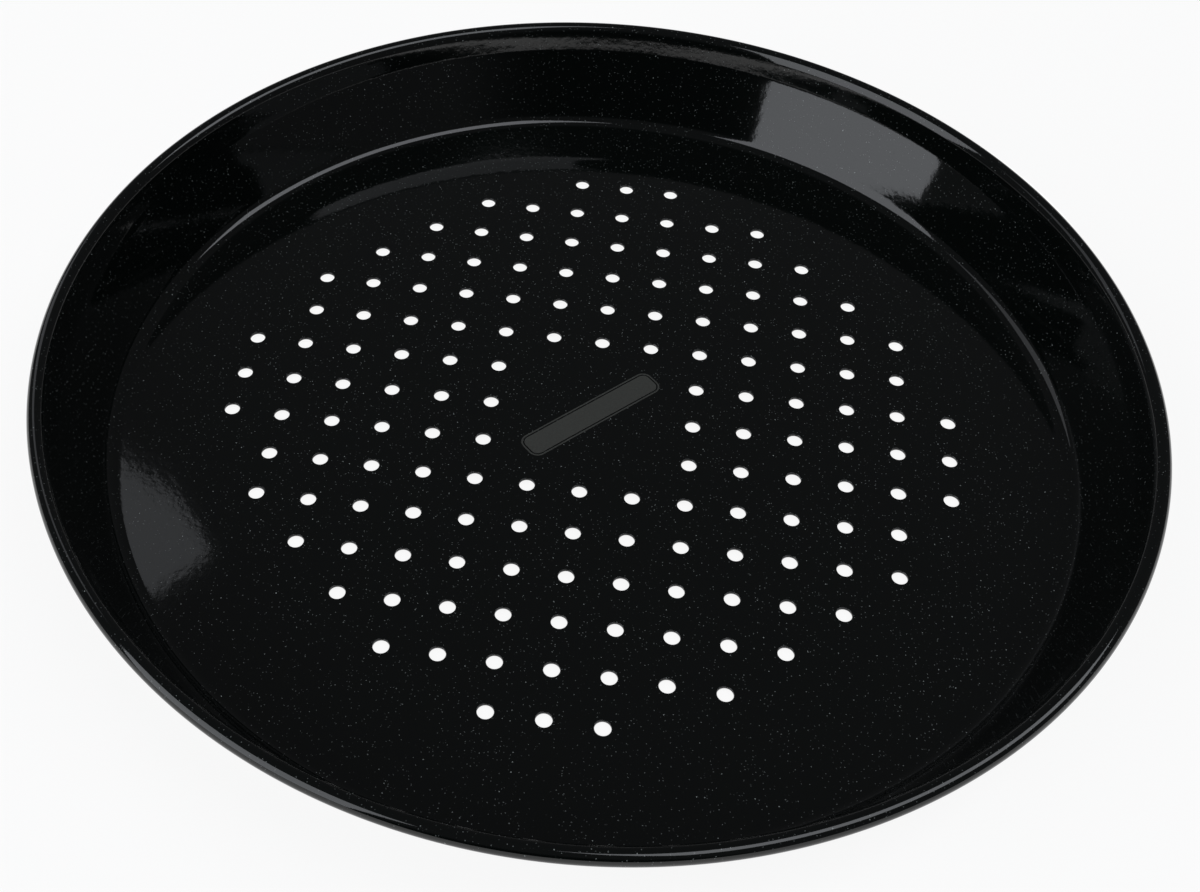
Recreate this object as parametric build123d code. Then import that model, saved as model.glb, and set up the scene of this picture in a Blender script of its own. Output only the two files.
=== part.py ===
from build123d import *
from math import asin, atan2, cos, degrees, hypot, radians, sin, sqrt
import os

# A round pressed-steel pizza pan: crowned and perforated floor, flared wall, and a rolled rim,
# vitreous enamel on every face, and a small plain printed panel in the middle of the floor.
# Millimetres. The pan stands on z = 0 and its axis of revolution is Z.

# Overall size: the flat part of the base, how far the rim stands out past it, and the height
base_diameter = 275.5
rim_overhang = 19.75
overall_height = 32.0

# The sheet and what is fired on it
steel_thickness = 0.5
enamel_thickness = 0.2
print_thickness = 0.05

# Floor: a shallow crown, a wide bend back to level, and the flat ring that the pan stands on
bearing_ring_width = 2.0
crown_rise = 1.4
crown_bend_radius = 700.0

# Bend between floor and wall. All bends are given at the middle of the sheet
corner_bend_radius = 4.8

# Neck: the top of the wall stands a little steeper than the rest of it
neck_bend_radius = 27.0
neck_turn = 5.5
neck_length = 5.2

# Rolled rim: a soft shoulder, then a curl outwards and down, left open so that wet enamel
# drains out of it
shoulder_bend_radius = 5.5
shoulder_turn = 17.0
roll_diameter = 4.6
roll_turn = 296.0

# Perforation: a square grid of punched holes in a circle that keeps clear of the floor's edge
# and is cut short across its diagonals
punched_hole_diameter = 4.8
hole_pitch = 15.0
hole_field_margin = 30.75
hole_field_corner_cut = 10.0

# Printed panel: a thin border line round a plain bar, laid diagonally across the grid
panel_length = 48.2
panel_width = 8.8
panel_corner_radius = 3.0
panel_line_width = 0.45
panel_line_gap = 0.45
panel_angle = 45.0
panel_clearance = 2.0

# How far a cutting tool runs past what it cuts
overrun = 5.0

# Distances of the faces from the middle of the sheet
steel_face = steel_thickness / 2
enamel_face = steel_face + enamel_thickness
print_face = enamel_face + print_thickness

base_radius = base_diameter / 2
roll_bend_radius = roll_diameter / 2 - enamel_face
floor_height = 2 * enamel_face + crown_rise

# The crown and the bend round it touch where the sheet has turned through crown_turn
crown_edge_radius = base_radius - bearing_ring_width
crown_and_bend = (crown_edge_radius**2 + crown_rise**2) / (2 * crown_rise)
crown_radius = crown_and_bend - crown_bend_radius
crown_turn = degrees(asin(crown_edge_radius / crown_and_bend))


def roll_place():
    """Where the roll's centre is from the end of the wall: along the wall's line, and in from it."""
    neck = radians(neck_turn)
    roll_start = radians(neck_turn - shoulder_turn)
    spare = shoulder_bend_radius - roll_bend_radius
    along = (neck_bend_radius + shoulder_bend_radius) * sin(neck) + neck_length * cos(neck)
    inwards = neck_bend_radius - (neck_bend_radius + shoulder_bend_radius) * cos(neck)
    inwards += neck_length * sin(neck)
    return along - spare * sin(roll_start), inwards + spare * cos(roll_start)


def sheet_stretches():
    """The middle of the sheet from the axis to its cut edge, as (length, radius, turn) stretches.

    A straight stretch has a length and no turn. An arc has a radius and a turn in degrees,
    positive where the sheet bends upwards.
    """
    # the wall touches the corner's circle, and its line passes the roll's centre at a set distance
    along, inwards = roll_place()
    across = rim_overhang - roll_diameter / 2
    up = overall_height - roll_diameter / 2 - enamel_face - corner_bend_radius
    bends = corner_bend_radius - inwards
    wall_turn = degrees(atan2(up, across) + asin(bends / hypot(across, up)))
    wall_length = sqrt(across**2 + up**2 - bends**2) - along

    return [
        (0, crown_radius, -crown_turn),
        (0, crown_bend_radius, crown_turn),
        (bearing_ring_width, 0, 0),
        (0, corner_bend_radius, wall_turn),
        (wall_length, 0, 0),
        (0, neck_bend_radius, neck_turn),
        (neck_length, 0, 0),
        (0, shoulder_bend_radius, -shoulder_turn),
        (0, roll_bend_radius, -roll_turn),
    ]


def with_coated_edge(stretches):
    """The same stretches with the roll longer by the enamel on the sheet's cut edge."""
    _, radius, turn = stretches[-1]
    return stretches[:-1] + [(0, radius, turn - degrees(enamel_thickness / radius))]


def sheet_line(face, stretches):
    """The line at a distance "face" above the middle of the sheet, drawn with x as the radius."""
    edges = []
    point = Vector(0, enamel_face + crown_rise + face)
    tangent = Vector(1, 0)
    for length, radius, turn in stretches:
        if turn == 0:
            edge = Line(point, point + tangent * length)
        elif turn > 0:
            edge = JernArc(point, tangent, radius - face, turn)
        else:
            edge = JernArc(point, tangent, radius + face, turn)
        edges.append(edge)
        point = edge @ 1
        tangent = edge % 1
    return Curve() + edges


def layer(lower, upper, stretches):
    """Section of what lies between two distances from the middle of the sheet."""
    below = sheet_line(lower, stretches)
    above = sheet_line(upper, stretches)
    ends = [Line(below @ 0, above @ 0), Line(below @ 1, above @ 1)]
    return make_face(below.edges() + above.edges() + ends)


def turned(section):
    """A section turned once round the pan's axis."""
    return revolve(Plane.XZ * section, Axis.Z)


def hole_places():
    """Centres of the holes: the grid inside the field, less those that the panel would meet."""
    panel_reach = (panel_length + panel_width) / (2 * sqrt(2)) + panel_clearance
    field_radius = base_radius - hole_field_margin
    steps = int(field_radius / hole_pitch)
    places = []
    for column in range(-steps, steps + 1):
        for row in range(-steps, steps + 1):
            x = column * hole_pitch
            y = row * hole_pitch
            in_circle = hypot(x, y) <= field_radius
            in_corners = (abs(x) + abs(y)) / sqrt(2) <= field_radius - hole_field_corner_cut
            under_panel = max(abs(x), abs(y)) <= panel_reach
            if in_circle and in_corners and not under_panel:
                places.append((x, y))
    return places


def through_holes(diameter):
    """A round cutter at each hole, from under the pan to above its floor."""
    cutter = Pos(0, 0, floor_height / 2) * Cylinder(diameter / 2, floor_height + 2 * overrun)
    return [Pos(x, y) * cutter for x, y in hole_places()]


def steel_pan(blank):
    """The pressed sheet with its holes punched."""
    return blank - through_holes(punched_hole_diameter)


def enamel_inside(coated):
    """Enamel on the cooking face, carried over the rim to the end of the roll."""
    coat = turned(layer(steel_face, enamel_face, coated))
    return coat - through_holes(punched_hole_diameter - 2 * enamel_thickness)


def enamel_outside(blank, bare, coated):
    """Enamel on the underside, inside the roll, on the cut edge, and through every hole."""
    section = layer(-enamel_face, steel_face, coated) - layer(-steel_face, steel_face, bare)
    slugs = blank & through_holes(punched_hole_diameter)
    coat = turned(section) + slugs
    return coat - through_holes(punched_hole_diameter - 2 * enamel_thickness)


def panel_outline(inset):
    """The panel's rounded bar, drawn in from its edge all round."""
    return RectangleRounded(panel_length - 2 * inset, panel_width - 2 * inset, panel_corner_radius - inset)


def crown_ball(face):
    """The ball whose top is a face of the crowned floor, turned so that its poles lie at its sides."""
    centre_height = enamel_face + crown_rise - crown_radius
    return Pos(0, 0, centre_height) * Rot(90, 0, 0) * Sphere(crown_radius + face)


def print_panel():
    """The fired print: a border line and a plain bar that follow the crown of the floor."""
    border = panel_outline(0) - panel_outline(panel_line_width)
    bar = panel_outline(panel_line_width + panel_line_gap)
    shape = Rot(0, 0, panel_angle) * (border + bar)
    return (extrude(shape, floor_height + overrun) & crown_ball(print_face)) - crown_ball(enamel_face)


bare = sheet_stretches()
coated = with_coated_edge(bare)
blank = turned(layer(-steel_face, steel_face, bare))

nodes = {
    "steel_pan": steel_pan(blank),
    "enamel_inside": enamel_inside(coated),
    "enamel_outside": enamel_outside(blank, bare, coated),
    "print_panel": print_panel(),
}

os.makedirs("parts", exist_ok=True)
for name, solid in nodes.items():
    export_step(solid, f"parts/{name}.step")
print("wall leans", round(90 - bare[3][2], 1), "degrees from upright;", len(hole_places()), "holes")
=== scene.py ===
from math import asin, atan2, cos, degrees, dist, hypot, pi, radians, sin, sqrt

import bmesh
import bpy
from mathutils import Matrix, Quaternion, Vector
from mathutils.geometry import delaunay_2d_cdt


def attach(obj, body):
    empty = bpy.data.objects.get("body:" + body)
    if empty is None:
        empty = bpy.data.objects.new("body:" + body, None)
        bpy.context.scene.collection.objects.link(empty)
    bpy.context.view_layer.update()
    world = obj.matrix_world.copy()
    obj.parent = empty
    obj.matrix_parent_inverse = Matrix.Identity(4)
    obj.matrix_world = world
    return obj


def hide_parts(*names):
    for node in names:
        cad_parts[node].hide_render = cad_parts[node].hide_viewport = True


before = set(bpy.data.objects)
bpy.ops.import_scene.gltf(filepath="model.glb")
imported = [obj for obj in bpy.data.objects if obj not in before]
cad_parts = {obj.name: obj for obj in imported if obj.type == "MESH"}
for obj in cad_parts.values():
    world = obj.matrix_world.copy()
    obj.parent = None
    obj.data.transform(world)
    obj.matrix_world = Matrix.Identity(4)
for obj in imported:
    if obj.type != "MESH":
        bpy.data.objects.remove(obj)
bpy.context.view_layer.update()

# Viewpoint. The camera looks down into the pan from the side of -Y, a little from the right and
# rolled by two degrees, as the photograph was taken. The pan lies left of the lens's axis, which
# the shift takes up.
camera_data = bpy.data.cameras.new("camera")
camera_data.sensor_width = 36.0
camera_data.lens = 47.3156
camera_data.shift_x = 0.0773
camera_data.clip_start = 0.01
camera = bpy.data.objects.new("camera", camera_data)
bpy.context.scene.collection.objects.link(camera)
bpy.context.scene.camera = camera
camera_right = Vector((0.98863758, 0.14855215, 0.02297828))
camera_up = Vector((-0.12704743, 0.74406156, 0.65592023))
camera_forward = Vector((-0.08034111, 0.65138672, -0.75448038))
eye = Vector((0.014068, -0.314528, 0.347189))
axes = Matrix((camera_right, camera_up, -camera_forward)).transposed()
camera.matrix_world = Matrix.Translation(eye) @ axes.to_4x4()
bpy.context.scene.view_settings.view_transform = "Standard"


# Table. A plain white laminate top that the pan stands on, wide enough to fill every view. It
# lies a hair lower than the pan's underside, so that the two faces don't share a plane.
def to_linear(hex_colour):
    """An sRGB hex colour as the linear red, green, blue and alpha that a shader takes."""
    channels = [int(hex_colour[i : i + 2], 16) / 255 for i in (1, 3, 5)]
    linear = [c / 12.92 if c <= 0.04045 else ((c + 0.055) / 1.055) ** 2.4 for c in channels]
    return (*linear, 1.0)


def add_node(tree, kind, settings=None, inputs=None, links=None):
    """Adds one node: its settings, the values of its sockets, and what feeds its sockets."""
    made = tree.nodes.new(kind)
    for name, value in (settings or {}).items():
        setattr(made, name, value)
    for name, value in (inputs or {}).items():
        made.inputs[name].default_value = value
    for name, source in (links or {}).items():
        tree.links.new(source, made.inputs[name])
    return made


def new_material(name):
    """An empty material, its node tree and its output node."""
    material = bpy.data.materials.new(name)
    material.use_nodes = True
    material.node_tree.nodes.clear()
    return material, material.node_tree, material.node_tree.nodes.new("ShaderNodeOutputMaterial")


laminate_white = "#f4f4f4"
table_half_width = 30.0
table_gap = 0.0002
table_corners = [
    (x * table_half_width, y * table_half_width, 0)
    for x, y in ((-1, -1), (1, -1), (1, 1), (-1, 1))
]
table_mesh = bpy.data.meshes.new("table")
table_mesh.from_pydata(table_corners, [], [(0, 1, 2, 3)])
table = bpy.data.objects.new("table", table_mesh)
bpy.context.scene.collection.objects.link(table)
table.location.z = -table_gap

# White laminate. Where the eye or a reflection meets it, most of it is its own even white, and
# the rest is shaded, which keeps the pan's soft shadow. What it sheds on the pan is plain matt.
white_laminate, tree, output = new_material("white_laminate")
path = add_node(tree, "ShaderNodeLightPath")
seen_or_mirrored = add_node(
    tree,
    "ShaderNodeMath",
    {"operation": "ADD"},
    links={0: path.outputs["Is Camera Ray"], 1: path.outputs["Is Glossy Ray"]},
)
seen = add_node(
    tree,
    "ShaderNodeMath",
    {"operation": "ADD", "use_clamp": True},
    links={0: seen_or_mirrored.outputs[0], 1: path.outputs["Is Transmission Ray"]},
)
matt = add_node(tree, "ShaderNodeBsdfDiffuse", inputs={"Color": to_linear("#dcdcdc")})
shaded = add_node(tree, "ShaderNodeBsdfDiffuse", inputs={"Color": to_linear("#5c5c5c")})
white = add_node(
    tree,
    "ShaderNodeEmission",
    inputs={"Color": to_linear(laminate_white), "Strength": 1.0},
)
pale = add_node(tree, "ShaderNodeAddShader", links={0: white.outputs[0], 1: shaded.outputs[0]})
laminate = add_node(
    tree,
    "ShaderNodeMixShader",
    links={0: seen.outputs[0], 1: matt.outputs[0], 2: pale.outputs[0]},
)
tree.links.new(laminate.outputs[0], output.inputs["Surface"])
table_mesh.materials.append(white_laminate)


# Studio. A dark room, darkest behind the viewer, with three soft boxes. Low down it has the
# table's white, so that the table has no far edge.
white_below = 2.0
# how far a direction in the room points to +Y, as a cosine
darkening_starts = -0.75
darkest_from = -0.95
world = bpy.data.worlds.new("studio")
bpy.context.scene.world = world
world.use_nodes = True
tree = world.node_tree
tree.nodes.clear()
output = tree.nodes.new("ShaderNodeOutputWorld")
direction = add_node(tree, "ShaderNodeTexCoord")
heading = add_node(
    tree, "ShaderNodeSeparateXYZ", links={0: direction.outputs["Generated"]}
)
low = add_node(
    tree,
    "ShaderNodeMath",
    {"operation": "LESS_THAN"},
    inputs={1: sin(radians(white_below))},
    links={0: heading.outputs["Z"]},
)
behind_viewer = add_node(
    tree,
    "ShaderNodeMapRange",
    {"interpolation_type": "SMOOTHSTEP"},
    inputs={
        "From Min": darkening_starts,
        "From Max": darkest_from,
        "To Min": 0.0,
        "To Max": 1.0,
    },
    links={"Value": heading.outputs["Y"]},
)
walls = add_node(
    tree, "ShaderNodeMix", {"data_type": "RGBA"}, links={"Factor": behind_viewer.outputs[0]}
)
walls.inputs[6].default_value = to_linear("#4e4e50")
walls.inputs[7].default_value = to_linear("#141415")
tone = add_node(tree, "ShaderNodeMix", {"data_type": "RGBA"}, links={"Factor": low.outputs[0]})
tree.links.new(walls.outputs[2], tone.inputs[6])
tone.inputs[7].default_value = to_linear(laminate_white)
room = add_node(tree, "ShaderNodeBackground", links={"Color": tone.outputs[2]})
tree.links.new(room.outputs[0], output.inputs["Surface"])

daylight = "#f5f9ff"


def towards(azimuth, elevation):
    """The direction at an azimuth and an elevation in degrees, from the middle of the pan."""
    level = cos(radians(elevation))
    east = level * cos(radians(azimuth))
    north = level * sin(radians(azimuth))
    return Vector((east, north, sin(radians(elevation))))


def soft_box(name, place, distance, back, roll, size, radiance):
    """A rectangular lamp in a direction and at a distance in metres, its back turned to "back"."""
    data = bpy.data.lights.new(name, "AREA")
    data.color = to_linear(daylight)[:3]
    data.shape = "RECTANGLE"
    data.size, data.size_y = size
    data.energy = radiance * pi * size[0] * size[1]
    lamp = bpy.data.objects.new(name, data)
    bpy.context.scene.collection.objects.link(lamp)
    lamp.location = towards(*place) * distance
    turn = towards(*back).to_track_quat("Z", "Y") @ Quaternion((0, 0, 1), radians(roll))
    lamp.rotation_euler = turn.to_euler()
    lamp.visible_camera = False


# Its reflection is the bright patch on the rear wall
soft_box("front_left_box", (217.5, 27.9), 2.87, (227.7, 34.2), 4.9, (2.25, 2.72), 2.2)
# Its reflections are the bright lines in the rear corner and along the rim
soft_box("overhead_right_box", (0.5, 61.3), 3.0, (-18.0, 62.8), 150.0, (2.85, 1.45), 2.55)
# A dimmer one, close by: its reflection is the soft patch on the left of the floor
soft_box("left_box", (140.9, 38.4), 0.719, (202.0, 23.2), 49.9, (0.4, 0.39), 0.64)


# Pressed steel sheet. One disc of deep-drawing steel: a crowned floor with 148 punched holes, a
# corner bend, a flared wall that is a little steeper near its top, and a rim that is curled
# outwards over a soft shoulder. All of it is under the enamel.
MM = 0.001
base_radius = 137.75
steel_face = 0.25
enamel_thickness = 0.2
enamel_face = steel_face + enamel_thickness
bearing_ring_width = 2.0
crown_rise = 1.4
crown_bend_radius = 700.0
corner_bend_radius = 4.8
neck_bend_radius = 27.0
neck_turn = 5.5
neck_length = 5.2
shoulder_bend_radius = 5.5
shoulder_turn = 17.0
roll_diameter = 4.6
roll_turn = 296.0
roll_bend_radius = roll_diameter / 2 - enamel_face

# These two are a few hundredths under the solids' 19.75 and 32.0, to stay inside their box
rim_overhang = 19.69
overall_height = 31.99

# The crown and the wide bend round it touch where the sheet has turned through crown_turn
crown_edge_radius = base_radius - bearing_ring_width
crown_and_bend = (crown_edge_radius**2 + crown_rise**2) / (2 * crown_rise)
crown_radius = crown_and_bend - crown_bend_radius
crown_turn = degrees(asin(crown_edge_radius / crown_and_bend))
crown_centre_height = enamel_face + crown_rise - crown_radius

# The perforated part of the floor is a disc cut into triangles, and the rest is turned on it
hole_pitch = 15.0
hole_radius = 2.2
punched_radius = hole_radius + enamel_thickness
hole_field_radius = 107.0
hole_field_diagonal = 97.0
clear_of_panel = 22.2
disc_radius = 115.0
disc_clearance = 2.0
guard_radius = 3.0
guard_clearance = 1.0
lathe_steps = 384
hole_steps = 40
straight_step = 1.2
fewest_straight_steps = 2
bend_step = 4.0
fewest_bend_steps = 6


def sheet_stretches(past_edge):
    """The middle of the sheet as (length, radius, turn) stretches, from the axis to its edge."""
    # centre of the roll, along the wall's line from its end and in from it
    neck = radians(neck_turn)
    roll_start = radians(neck_turn - shoulder_turn)
    spare = shoulder_bend_radius - roll_bend_radius
    along = (neck_bend_radius + shoulder_bend_radius) * sin(neck) + neck_length * cos(neck)
    along -= spare * sin(roll_start)
    inwards = neck_bend_radius - (neck_bend_radius + shoulder_bend_radius) * cos(neck)
    inwards += neck_length * sin(neck) + spare * cos(roll_start)
    # the wall touches the corner's circle and passes the roll's centre at that distance
    across = rim_overhang - roll_diameter / 2
    up = overall_height - roll_diameter / 2 - enamel_face - corner_bend_radius
    bends = corner_bend_radius - inwards
    wall_turn = degrees(atan2(up, across) + asin(bends / hypot(across, up)))
    wall_length = sqrt(across**2 + up**2 - bends**2) - along
    return [
        (0, crown_radius, -crown_turn),
        (0, crown_bend_radius, crown_turn),
        (bearing_ring_width, 0, 0),
        (0, corner_bend_radius, wall_turn),
        (wall_length, 0, 0),
        (0, neck_bend_radius, neck_turn),
        (neck_length, 0, 0),
        (0, shoulder_bend_radius, -shoulder_turn),
        (0, roll_bend_radius, -roll_turn - degrees(past_edge / roll_bend_radius)),
    ]


def sheet_line(face, past_edge):
    """Points (radius, height) "face" above the sheet's middle, from the disc out to the edge."""
    points = []
    x, z, slope = 0.0, enamel_face + crown_rise, 0.0
    for length, radius, turn in sheet_stretches(past_edge):
        if turn == 0:
            count = max(fewest_straight_steps, round(length / straight_step))
            for k in range(count + 1):
                s = length * k / count
                points.append(((x + s * cos(slope), z + s * sin(slope)), slope))
            x, z = points[-1][0]
            continue
        side = 1 if turn > 0 else -1
        centre = (x - side * radius * sin(slope), z + side * radius * cos(slope))
        count = max(fewest_bend_steps, round(abs(turn) / bend_step))
        for k in range(count + 1):
            at = slope + radians(turn) * k / count
            middle = (centre[0] + side * radius * sin(at), centre[1] - side * radius * cos(at))
            points.append((middle, at))
        (x, z), slope = points[-1]

    # without what the disc already covers, and without the doubled points between stretches
    covered_radius = disc_radius + 0.5
    doubled = 1e-4
    line = []
    for (x, z), slope in points:
        point = (x - face * sin(slope), z + face * cos(slope))
        if point[0] > covered_radius and not (line and dist(point, line[-1]) < doubled):
            line.append(point)
    return line


def crown_height(radius, face):
    """Height of the crowned floor at a radius, "face" above the middle of the sheet."""
    return crown_centre_height + sqrt((crown_radius + face) ** 2 - radius**2)


def hole_places():
    """Centres of the 148 holes: a square grid in a circle, cut short across its diagonals."""
    steps = int(hole_field_radius / hole_pitch)
    places = []
    for column in range(-steps, steps + 1):
        for row in range(-steps, steps + 1):
            x, y = column * hole_pitch, row * hole_pitch
            in_circle = hypot(x, y) <= hole_field_radius
            in_corners = (abs(x) + abs(y)) / sqrt(2) <= hole_field_diagonal
            if in_circle and in_corners and max(abs(x), abs(y)) > clear_of_panel:
                places.append((x, y))
    return places


def floor_plan():
    """Plan of the perforated disc: points, triangles, the ring round each hole, and the rim."""
    centres = hole_places()
    punched = set(centres)
    points = []
    edges = []

    def add_ring(x, y, radius, count):
        first = len(points)
        for k in range(count):
            turn = 2 * pi * k / count
            points.append(Vector((x + radius * cos(turn), y + radius * sin(turn))))
            edges.append((first + k, first + (k + 1) % count))
        return list(range(first, first + count))

    # a guard ring round each hole and loose points between them keep the triangles even
    rim = add_ring(0, 0, disc_radius, lathe_steps)
    rings = []
    for x, y in centres:
        add_ring(x, y, guard_radius, hole_steps)
        rings.append(add_ring(x, y, punched_radius, hole_steps))
    step = hole_pitch / 2
    steps = int(disc_radius / step)
    for column in range(-steps, steps + 1):
        for row in range(-steps, steps + 1):
            place = (column * step, row * step)
            in_disc = hypot(*place) <= disc_radius - disc_clearance
            to_hole = min(dist(place, centre) for centre in centres)
            if in_disc and to_hole >= guard_radius + guard_clearance:
                points.append(Vector(place))

    whole_disc = 0
    merge_distance = 1e-6
    plan, _, triangles, origins, _, _ = delaunay_2d_cdt(
        points, edges, [], whole_disc, merge_distance
    )
    number = {origin: k for k, sources in enumerate(origins) for origin in sources}
    kept = []
    for triangle in triangles:
        middle = (sum(plan[k].x for k in triangle) / 3, sum(plan[k].y for k in triangle) / 3)
        nearest = tuple(round(c / hole_pitch) * hole_pitch for c in middle)
        in_hole = nearest in punched and dist(middle, nearest) < punched_radius
        if not in_hole and hypot(*middle) < disc_radius:
            kept.append(triangle)
    return plan, kept, [[number[k] for k in ring] for ring in rings], [number[k] for k in rim]


plan_points, plan_triangles, plan_rings, plan_rim = floor_plan()


class Coat:
    """Points and faces of one closed layer of the pan, in millimetres."""

    def __init__(self):
        self.points = []
        self.faces = []

    def floor(self, face, ring_radius):
        """One face of the perforated disc. Gives the ring round each hole, and the rim."""
        first = len(self.points)
        places = [(p.x, p.y) for p in plan_points]
        for (x, y), ring in zip(hole_places(), plan_rings):
            for k, point in enumerate(ring):
                turn = 2 * pi * k / hole_steps
                places[point] = (x + ring_radius * cos(turn), y + ring_radius * sin(turn))
        for x, y in places:
            self.points.append((x, y, crown_height(hypot(x, y), face)))
        for triangle in plan_triangles:
            self.faces.append([first + k for k in triangle])
        return [[first + k for k in ring] for ring in plan_rings], [first + k for k in plan_rim]

    def bore(self, start_rings, line, end_rings):
        """The wall of each hole: a line of (radius, face) rings between two floors' rings."""
        for (x, y), start, end in zip(hole_places(), start_rings, end_rings):
            last = start
            for radius, face in line:
                first = len(self.points)
                for k in range(hole_steps):
                    turn = 2 * pi * k / hole_steps
                    u, v = x + radius * cos(turn), y + radius * sin(turn)
                    self.points.append((u, v, crown_height(hypot(u, v), face)))
                ring = list(range(first, first + hole_steps))
                self.band(last, ring)
                last = ring
            self.band(last, end)

    def turned(self, start_rim, line, end_rim):
        """A line of (radius, height) points turned round the axis, between two floors' rims."""
        last = start_rim
        for radius, height in line:
            first = len(self.points)
            for k in range(lathe_steps):
                turn = 2 * pi * k / lathe_steps
                self.points.append((radius * cos(turn), radius * sin(turn), height))
            ring = list(range(first, first + lathe_steps))
            self.band(last, ring)
            last = ring
        self.band(last, end_rim)

    def band(self, one, other):
        """Quads between two rings of equal count."""
        for k in range(len(one)):
            after = (k + 1) % len(one)
            self.faces.append([one[k], one[after], other[after], other[k]])

    def to_object(self, name, material):
        """The finished piece, in metres, smooth and with its normals outwards."""
        mesh = bpy.data.meshes.new(name)
        mesh.from_pydata([(x * MM, y * MM, z * MM) for x, y, z in self.points], [], self.faces)
        shape = bmesh.new()
        shape.from_mesh(mesh)
        bmesh.ops.recalc_face_normals(shape, faces=shape.faces)
        shape.to_mesh(mesh)
        shape.free()
        mesh.polygons.foreach_set("use_smooth", [True] * len(mesh.polygons))
        mesh.materials.append(material)
        piece = bpy.data.objects.new(name, mesh)
        bpy.context.scene.collection.objects.link(piece)
        return piece


# Pickled steel: cold-rolled sheet, cleaned in acid before it is enamelled. It looks dull grey,
# with a faint mill grain in its gloss. The real grain is about 0.1 mm wide, too fine to show, and
# is drawn at 0.8 mm.
mill_grain_width = 0.8
pickled_steel, tree, output = new_material("pickled_steel")
place = add_node(tree, "ShaderNodeTexCoord")
mill_grain = add_node(
    tree,
    "ShaderNodeTexNoise",
    inputs={"Scale": 1 / (mill_grain_width * MM), "Detail": 3.0},
    links={"Vector": place.outputs["Object"]},
)
dullness = add_node(
    tree,
    "ShaderNodeMapRange",
    inputs={"To Min": 0.34, "To Max": 0.5},
    links={"Value": mill_grain.outputs["Fac"]},
)
steel = add_node(
    tree,
    "ShaderNodeBsdfPrincipled",
    inputs={"Base Color": to_linear("#8f9092"), "Metallic": 0.9},
    links={"Roughness": dullness.outputs[0]},
)
tree.links.new(steel.outputs[0], output.inputs["Surface"])

sheet = Coat()
top_rings, top_rim = sheet.floor(steel_face, punched_radius)
low_rings, low_rim = sheet.floor(-steel_face, punched_radius)
sheet.bore(top_rings, [], low_rings)
steel_top = sheet_line(steel_face, 0)
steel_underside = sheet_line(-steel_face, 0)
sheet.turned(top_rim, steel_top + steel_underside[::-1], low_rim)
steel_sheet = sheet.to_object("steel_sheet", pickled_steel)
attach(steel_sheet, "root")
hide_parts("steel_pan")


# Enamel, cooking side. Black vitreous enamel with white flecks, sprayed wet on the steel and
# fired at about 820 degrees. It covers the inside, goes over the rim to the end of the roll and
# rounds the edge of each hole.
def flecks(tree, place, spacing, radius, share, offset):
    """White grains about "spacing" apart in millimetres: up to 1 in a grain, 0 outside."""
    solid_core = 0.45
    moved = add_node(
        tree,
        "ShaderNodeVectorMath",
        {"operation": "ADD"},
        inputs={1: (offset, offset * 0.7, offset * 1.3)},
        links={0: place.outputs["Object"]},
    )
    cells = add_node(
        tree,
        "ShaderNodeTexVoronoi",
        {"feature": "F1"},
        inputs={"Scale": 1 / (spacing * MM)},
        links={"Vector": moved.outputs[0]},
    )
    chance = add_node(tree, "ShaderNodeSeparateColor", links={"Color": cells.outputs["Color"]})
    brightness = add_node(
        tree,
        "ShaderNodeMapRange",
        inputs={"From Min": 1 - share, "From Max": 1.0, "To Min": 0.0, "To Max": 1.0},
        links={"Value": chance.outputs["Red"]},
    )
    grain = add_node(
        tree,
        "ShaderNodeMapRange",
        inputs={
            "From Min": radius / spacing,
            "From Max": radius / spacing * solid_core,
            "To Min": 0.0,
            "To Max": 1.0,
        },
        links={"Value": cells.outputs["Distance"]},
    )
    return add_node(
        tree,
        "ShaderNodeMath",
        {"operation": "MULTIPLY"},
        links={0: brightness.outputs[0], 1: grain.outputs[0]},
    )


def hole_lip(side, last_angle):
    """The rounded edge of a hole's enamel on the pan's upper (1) or lower (-1) side."""
    lip_step = 18
    return [
        (
            hole_radius + enamel_thickness * (1 - sin(radians(angle))),
            side * (steel_face + enamel_thickness * cos(radians(angle))),
        )
        for angle in range(lip_step, last_angle + 1, lip_step)
    ]


def round_corner(start, corner, end):
    """Points of a rounded corner between two points, without the two points themselves."""
    points = []
    for s in (0.25, 0.5, 0.75):
        weights = ((1 - s) ** 2, 2 * s * (1 - s), s**2)
        points.append(
            tuple(sum(w * p[i] for w, p in zip(weights, (start, corner, end))) for i in (0, 1))
        )
    return points


# Black enamel: glass with an even high gloss, which the slight orange peel of a sprayed coat
# breaks up. The flecks are grains of white frit in it. Real ones are 0.2 mm or less, too fine to
# show in the render, so they are drawn about twice as large, and further apart.
peel_width = 2.6
peel_depth = 0.012
black_enamel, tree, output = new_material("black_enamel")
place = add_node(tree, "ShaderNodeTexCoord")
fine = flecks(tree, place, spacing=0.95, radius=0.18, share=0.8, offset=0.0)
coarse = flecks(tree, place, spacing=2.0, radius=0.21, share=0.5, offset=0.31)
faint = add_node(
    tree,
    "ShaderNodeMath",
    {"operation": "MULTIPLY"},
    inputs={1: 0.5},
    links={0: fine.outputs[0]},
)
frit = add_node(
    tree,
    "ShaderNodeMath",
    {"operation": "MAXIMUM"},
    links={0: faint.outputs[0], 1: coarse.outputs[0]},
)
colour = add_node(
    tree, "ShaderNodeMix", {"data_type": "RGBA"}, links={"Factor": frit.outputs[0]}
)
colour.inputs[6].default_value = to_linear("#070a09")
colour.inputs[7].default_value = to_linear("#a2a8a6")
peel = add_node(
    tree,
    "ShaderNodeTexNoise",
    inputs={"Scale": 1 / (peel_width * MM), "Detail": 3.0, "Roughness": 0.55},
    links={"Vector": place.outputs["Object"]},
)
relief = add_node(
    tree,
    "ShaderNodeBump",
    inputs={"Strength": 1.0, "Distance": peel_depth * MM},
    links={"Height": peel.outputs["Fac"]},
)
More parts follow.
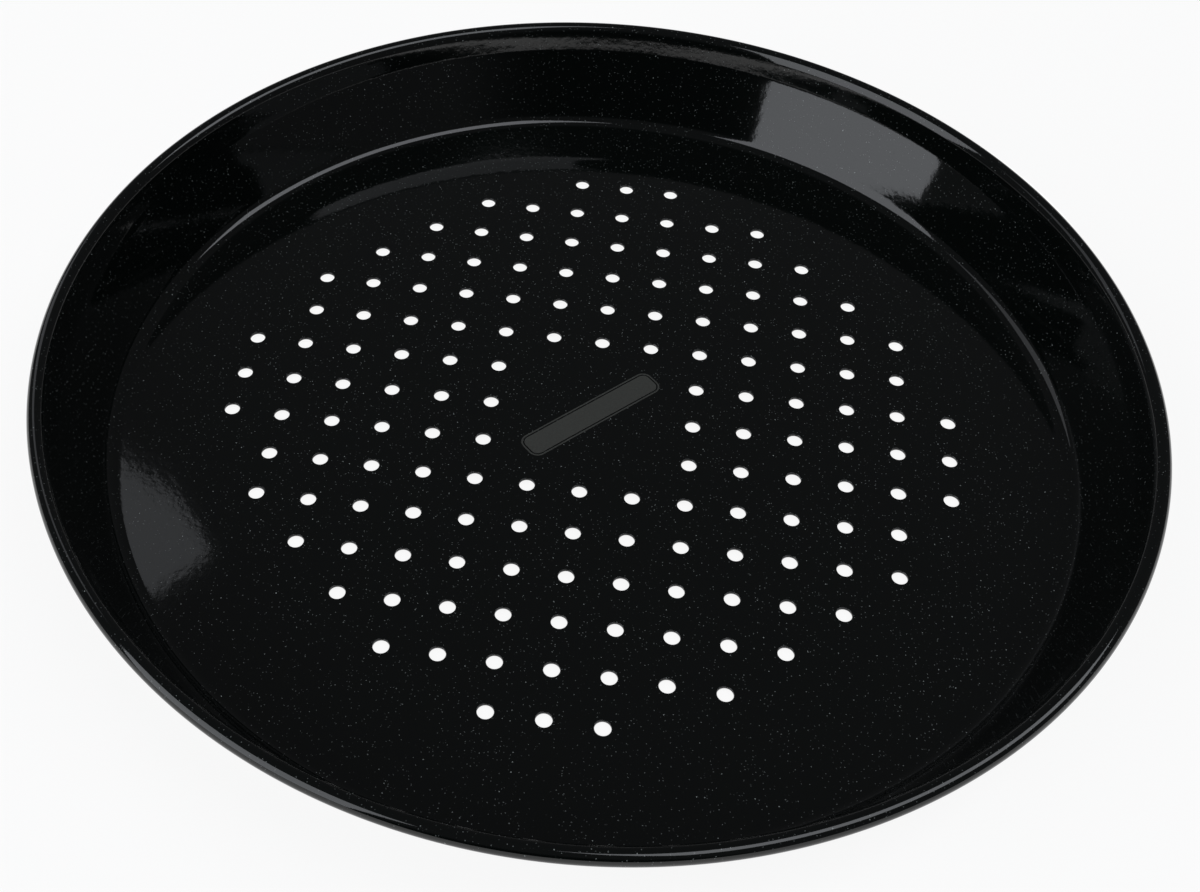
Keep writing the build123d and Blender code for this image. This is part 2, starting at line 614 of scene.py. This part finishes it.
enamel = add_node(
    tree,
    "ShaderNodeBsdfPrincipled",
    inputs={"Roughness": 0.05, "IOR": 1.52},
    links={"Base Color": colour.outputs[2], "Normal": relief.outputs[0]},
)
tree.links.new(enamel.outputs[0], output.inputs["Surface"])

inside = Coat()
top_rings, top_rim = inside.floor(enamel_face, punched_radius)
bed_rings, bed_rim = inside.floor(steel_face, hole_radius)
inside.bore(top_rings, hole_lip(1, 72), bed_rings)
glass_top = sheet_line(enamel_face, enamel_thickness)
glass_bed = sheet_line(steel_face, enamel_thickness)
rounded_end = round_corner(glass_top[-2], glass_top[-1], glass_bed[-1])
inside.turned(top_rim, glass_top[:-1] + rounded_end + glass_bed[::-1], bed_rim)
enamel_cooking_side = inside.to_object("enamel_cooking_side", black_enamel)
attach(enamel_cooking_side, "root")
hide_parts("enamel_inside")


# Enamel, outer side. The same glass on the underside and on the wall's outside, inside the roll,
# over the sheet's cut edge and down through each hole, where it leaves a bore of 4.4 mm.
outside = Coat()
under_rings, under_rim = outside.floor(-enamel_face, punched_radius)
sheet_rings, sheet_rim = outside.floor(-steel_face, punched_radius)
bore_lining = [
    (hole_radius, 0.0),
    (hole_radius, steel_face),
    (punched_radius, steel_face),
    (punched_radius, 0.0),
]
outside.bore(under_rings, hole_lip(-1, 90) + bore_lining, sheet_rings)
glass_skin = sheet_line(-enamel_face, enamel_thickness)
over_edge = [sheet_line(steel_face, past)[-1] for past in (enamel_thickness, 0)]
rounded_end = round_corner(glass_skin[-2], glass_skin[-1], over_edge[0])
outside.turned(
    under_rim,
    glass_skin[:-1] + rounded_end + over_edge + steel_underside[::-1],
    sheet_rim,
)
enamel_outer_side = outside.to_object("enamel_outer_side", black_enamel)
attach(enamel_outer_side, "root")
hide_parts("enamel_outside")


# Printed panel. A thin line round a plain bar in grey ceramic colour, screen printed in the
# middle of the floor and fired on the enamel. Its shape is the CAD model's own.

# Ceramic print: matt against the glass round it, and a little uneven from the screen's mesh. The
# real mesh is about 0.15 mm, too fine to show, and its mottle is drawn at 0.6 mm.
mottle_width = 0.6
ceramic_print, tree, output = new_material("ceramic_print")
place = add_node(tree, "ShaderNodeTexCoord")
mottle = add_node(
    tree,
    "ShaderNodeTexNoise",
    inputs={"Scale": 1 / (mottle_width * MM), "Detail": 3.0},
    links={"Vector": place.outputs["Object"]},
)
colour = add_node(
    tree, "ShaderNodeMix", {"data_type": "RGBA"}, links={"Factor": mottle.outputs["Fac"]}
)
colour.inputs[6].default_value = to_linear("#343532")
colour.inputs[7].default_value = to_linear("#4e4f4b")
ink = add_node(
    tree,
    "ShaderNodeBsdfPrincipled",
    inputs={"Roughness": 0.35},
    links={"Base Color": colour.outputs[2]},
)
tree.links.new(ink.outputs[0], output.inputs["Surface"])
print_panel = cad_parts["print_panel"]
print_panel.data.materials.clear()
print_panel.data.materials.append(ceramic_print)
